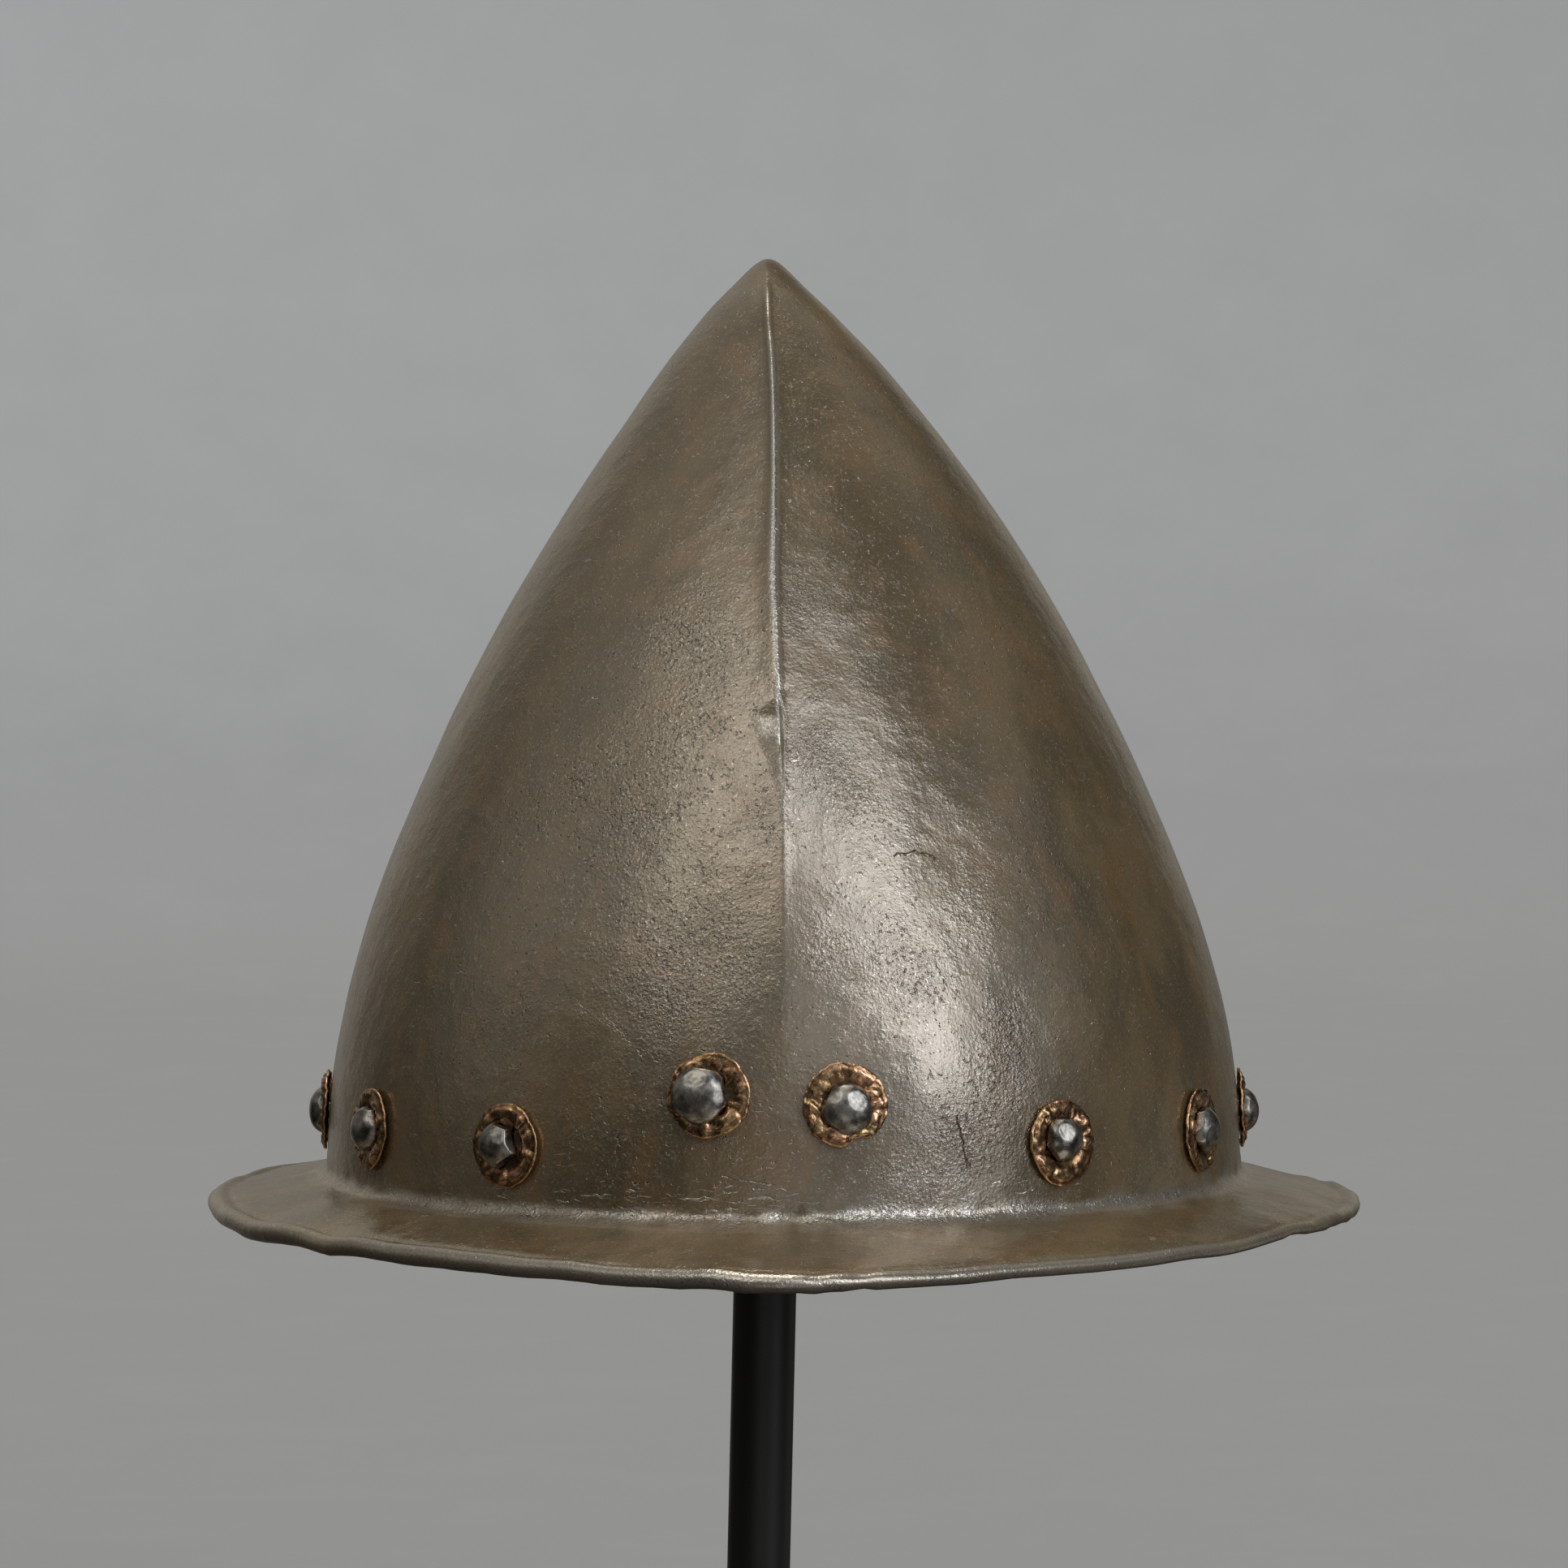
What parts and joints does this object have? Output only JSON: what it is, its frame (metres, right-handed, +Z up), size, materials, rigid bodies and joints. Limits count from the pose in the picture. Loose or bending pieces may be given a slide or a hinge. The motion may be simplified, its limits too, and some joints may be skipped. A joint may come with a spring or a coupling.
{
  "type": "cabasset helmet on post stand",
  "caption": "Almond-shaped open iron helmet with a pointed keeled skull, a flat turned-edge brim and riveted copper rosettes, held on a plain round-based post stand.",
  "frame": {"origin": "on the surface that the stand rests on, straight below the middle of the helmet's brim", "axes": "+Z up through the skull, -Y towards the front of the helmet, +X towards the wearer's left"},
  "size_m": [0.2718, 0.348, 0.3644],
  "materials": {
    "patinated_iron": "hammered wrought iron plate, pitted, with a dark brown oil patina",
    "rivet_iron": "hammered iron rivet heads, worn bright",
    "copper_alloy": "embossed copper-alloy sheet, dark grime in the hollows",
    "black_paint": "satin black paint on steel",
    "black_felt": "black wool felt"
  },
  "bodies": {
    "root": {"skull_and_brim": "patinated_iron", "skull_rest": "black_felt", "stand_post": "black_paint", "stand_base": "black_paint", "rivet_01": "rivet_iron", "rivet_02": "rivet_iron", "rivet_03": "rivet_iron", "rivet_04": "rivet_iron", "rivet_05": "rivet_iron", "rivet_06": "rivet_iron", "rivet_07": "rivet_iron", "rivet_08": "rivet_iron", "rivet_09": "rivet_iron", "rivet_10": "rivet_iron", "rivet_11": "rivet_iron", "rivet_12": "rivet_iron", "rivet_13": "rivet_iron", "rivet_14": "rivet_iron", "rosette_01": "copper_alloy", "rosette_02": "copper_alloy", "rosette_03": "copper_alloy", "rosette_04": "copper_alloy", "rosette_05": "copper_alloy", "rosette_06": "copper_alloy", "rosette_07": "copper_alloy", "rosette_08": "copper_alloy", "rosette_09": "copper_alloy", "rosette_10": "copper_alloy", "rosette_11": "copper_alloy", "rosette_12": "copper_alloy", "rosette_13": "copper_alloy", "rosette_14": "copper_alloy"}
  },
  "joints": []
}
